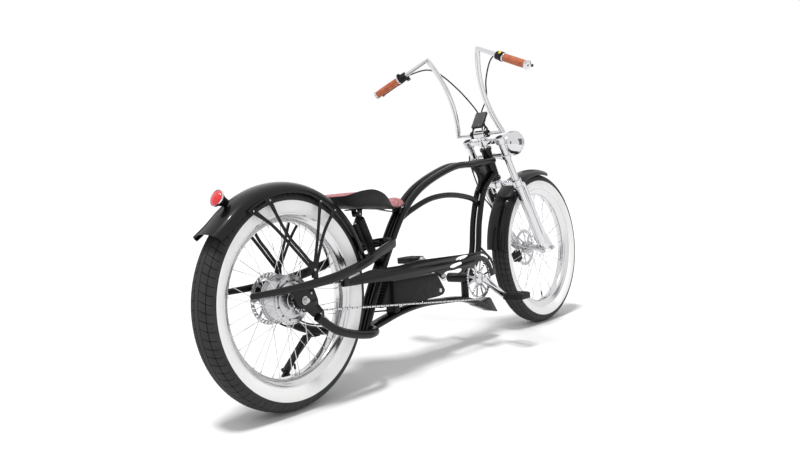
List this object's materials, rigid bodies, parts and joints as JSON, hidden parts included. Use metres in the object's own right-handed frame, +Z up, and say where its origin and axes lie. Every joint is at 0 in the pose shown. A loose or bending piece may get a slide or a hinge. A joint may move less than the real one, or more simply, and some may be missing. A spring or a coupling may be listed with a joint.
{
  "type": "electric cruiser bicycle",
  "caption": "Stretched electric cruiser bicycle with fat whitewall tyres, twin-arch frame, truss fork, tall swept handlebar, sprung saddle, fenders and kickstand.",
  "frame": {"origin": "Centre of the bounding box's base, on the floor that both tyres and the kickstand foot stand on", "axes": "+X points to the front wheel, +Y to the rider's left, +Z straight up; the bicycle leans seven degrees to its left on the kickstand"},
  "size_m": [2.4126, 0.7774, 1.2803],
  "materials": {
    "gloss_black_paint": "gloss black",
    "matte_black_plastic": "matte",
    "chrome": "polished",
    "aluminium": "satin",
    "steel": "brushed",
    "tyre_rubber": "dark tread with white side walls",
    "grip_leather": "satin",
    "saddle_leather": "mottled satin",
    "saddle_shell": "matte charcoal",
    "red_lens": "clear red",
    "clear_lens": "clear",
    "yellow_plastic": "gloss",
    "display_plastic": "gloss"
  },
  "bodies": {
    "frame": {"frame": "gloss_black_paint", "chain_guard": "gloss_black_paint", "battery_pack": "matte_black_plastic", "motor_controller": "matte_black_plastic", "rear_fender": "gloss_black_paint", "rear_fender_stay_left": "gloss_black_paint", "rear_fender_stay_right": "gloss_black_paint", "tail_lamp_housing": "chrome", "tail_lamp_lens": "red_lens", "rear_axle": "steel", "rear_brake_caliper": "matte_black_plastic", "drive_chain": "steel", "motor_cable": "matte_black_plastic", "rear_brake_cable_lower": "matte_black_plastic"},
    "steering": {"lower_crown_and_steerer": "chrome", "upper_crown": "chrome", "fork_leg_left": "chrome", "fork_leg_right": "chrome", "stem": "chrome", "handlebar": "chrome", "display": "display_plastic", "display_bracket": "matte_black_plastic", "headlamp_bracket": "chrome", "front_fender": "gloss_black_paint", "front_axle": "steel", "front_brake_caliper": "matte_black_plastic", "grip_wrap_left": "grip_leather", "brake_lever_clamp_left": "matte_black_plastic", "brake_lever_clamp_right": "matte_black_plastic", "throttle_housing": "matte_black_plastic", "front_brake_cable": "matte_black_plastic", "rear_brake_cable_upper": "matte_black_plastic"},
    "headlamp": {"headlamp_shell": "chrome", "headlamp_lens": "clear_lens"},
    "brake_lever_left": {"brake_lever_left": "matte_black_plastic"},
    "brake_lever_right": {"brake_lever_right": "matte_black_plastic"},
    "switch_button": {"switch_button": "matte_black_plastic"},
    "throttle_button": {"throttle_button": "yellow_plastic"},
    "throttle": {"grip_sleeve_right": "chrome", "grip_wrap_right": "grip_leather"},
    "front_wheel": {"front_tyre": "tyre_rubber", "front_rim_and_spokes": "chrome", "front_hub": "aluminium", "front_rotor": "steel"},
    "rear_wheel": {"rear_tyre": "tyre_rubber", "rear_rim_and_spokes": "chrome", "rear_motor_hub": "aluminium", "rear_rotor": "steel"},
    "crank": {"chainring": "chrome", "crank_arm_right": "chrome", "crank_arm_left": "chrome"},
    "freewheel": {"freewheel_sprocket": "steel"},
    "pedal_left": {"pedal_left": "matte_black_plastic"},
    "pedal_right": {"pedal_right": "matte_black_plastic"},
    "kickstand": {"kickstand": "gloss_black_paint"},
    "seat": {"seat_shell": "saddle_shell", "seat_cushion": "saddle_leather", "seat_rail": "gloss_black_paint"},
    "shock_tilt": {"shock_body": "matte_black_plastic"},
    "shock_slide": {"shock_shaft": "chrome"}
  },
  "joints": [
    {"name": "steering_turn", "type": "hinge", "parent": "frame", "child": "steering", "pos_m": [0.49313, -0.0438, 0.78412], "axis": [-0.4028, 0.1113, 0.9085], "range_deg": [-40, 40]},
    {"name": "headlamp_tilt", "type": "hinge", "parent": "steering", "child": "headlamp", "pos_m": [0.65825, -0.04283, 0.79134], "axis": [-0.0005, 0.9925, -0.1219], "range_deg": [-12, 12]},
    {"name": "brake_lever_left_pull", "type": "hinge", "parent": "steering", "child": "brake_lever_left", "pos_m": [0.26835, 0.25432, 1.16385], "axis": [0.0037, 0.5382, 0.8428], "range_deg": [0, 7.5], "stiffness_Nm_per_rad": 1.2, "springref_deg": -14.32},
    {"name": "brake_lever_right_pull", "type": "hinge", "parent": "steering", "child": "brake_lever_right", "pos_m": [0.26862, -0.24144, 1.22472], "axis": [-0.0041, 0.3183, -0.948], "range_deg": [0, 7.5], "stiffness_Nm_per_rad": 1.2, "springref_deg": -14.32},
    {"name": "switch_button_press", "type": "slide", "parent": "steering", "child": "switch_button", "axis": [0.7776, -0.1727, -0.6046], "range_m": [0, 0.0015], "stiffness_N_per_m": 400, "springref_m": -0.0008},
    {"name": "throttle_button_press", "type": "slide", "parent": "steering", "child": "throttle_button", "axis": [0.7775, 0.0221, -0.6286], "range_m": [0, 0.0015], "stiffness_N_per_m": 400, "springref_m": -0.0008},
    {"name": "throttle_twist", "type": "hinge", "parent": "steering", "child": "throttle", "pos_m": [0.22348, -0.25842, 1.21921], "axis": [-0.2238, -0.9242, -0.3093], "range_deg": [0, 60], "stiffness_Nm_per_rad": 0.4, "springref_deg": -20.05},
    {"name": "front_wheel_spin", "type": "hinge", "parent": "steering", "child": "front_wheel", "pos_m": [0.85035, -0.09621, 0.35576], "axis": [-0.0005, 0.9925, -0.1219], "continuous": true},
    {"name": "rear_wheel_spin", "type": "hinge", "parent": "frame", "child": "rear_wheel", "pos_m": [-0.84364, -0.09621, 0.36316], "axis": [-0.0005, 0.9925, -0.1219], "continuous": true},
    {"name": "crank_turn", "type": "hinge", "parent": "frame", "child": "crank", "pos_m": [0.20607, -0.10413, 0.29406], "axis": [-0.0005, 0.9925, -0.1219], "continuous": true},
    {"name": "freewheel_turn", "type": "hinge", "parent": "frame", "child": "freewheel", "pos_m": [-0.84364, -0.09621, 0.36316], "axis": [-0.0005, 0.9925, -0.1219], "continuous": true},
    {"name": "pedal_left_spin", "type": "hinge", "parent": "crank", "child": "pedal_left", "pos_m": [0.06343, 0.00843, 0.37442], "axis": [-0.0005, 0.9925, -0.1219], "continuous": true},
    {"name": "pedal_right_spin", "type": "hinge", "parent": "crank", "child": "pedal_right", "pos_m": [0.34872, -0.21668, 0.2137], "axis": [-0.0005, 0.9925, -0.1219], "continuous": true},
    {"name": "kickstand_fold", "type": "hinge", "parent": "frame", "child": "kickstand", "pos_m": [-0.6164, 0.01085, 0.18782], "axis": [0.2302, 0.8701, 0.4357], "range_deg": [0, 78.4]},
    {"name": "seat_hinge", "type": "hinge", "parent": "frame", "child": "seat", "pos_m": [-0.20548, -0.06367, 0.62538], "axis": [-0.0005, 0.9925, -0.1219], "range_deg": [-3, 0], "stiffness_Nm_per_rad": 900, "springref_deg": 3.44},
    {"name": "shock_tilt_turn", "type": "hinge", "parent": "frame", "child": "shock_tilt", "pos_m": [-0.37323, -0.08463, 0.45539], "axis": [-0.0005, 0.9925, -0.1219], "range_deg": [-1.56, 0]},
    {"name": "shock_slide_travel", "type": "slide", "parent": "shock_tilt", "child": "shock_slide", "axis": [0.4183, -0.1105, -0.9015], "range_m": [0, 0.01179]}
  ],
  "couplings": [
    {"joint": "freewheel_turn", "follows": "crank_turn", "ratio": 2.4444},
    {"joint": "shock_tilt_turn", "follows": "seat_hinge", "ratio": 0.52027},
    {"joint": "shock_slide_travel", "follows": "seat_hinge", "m_per_rad": -0.22491}
  ]
}
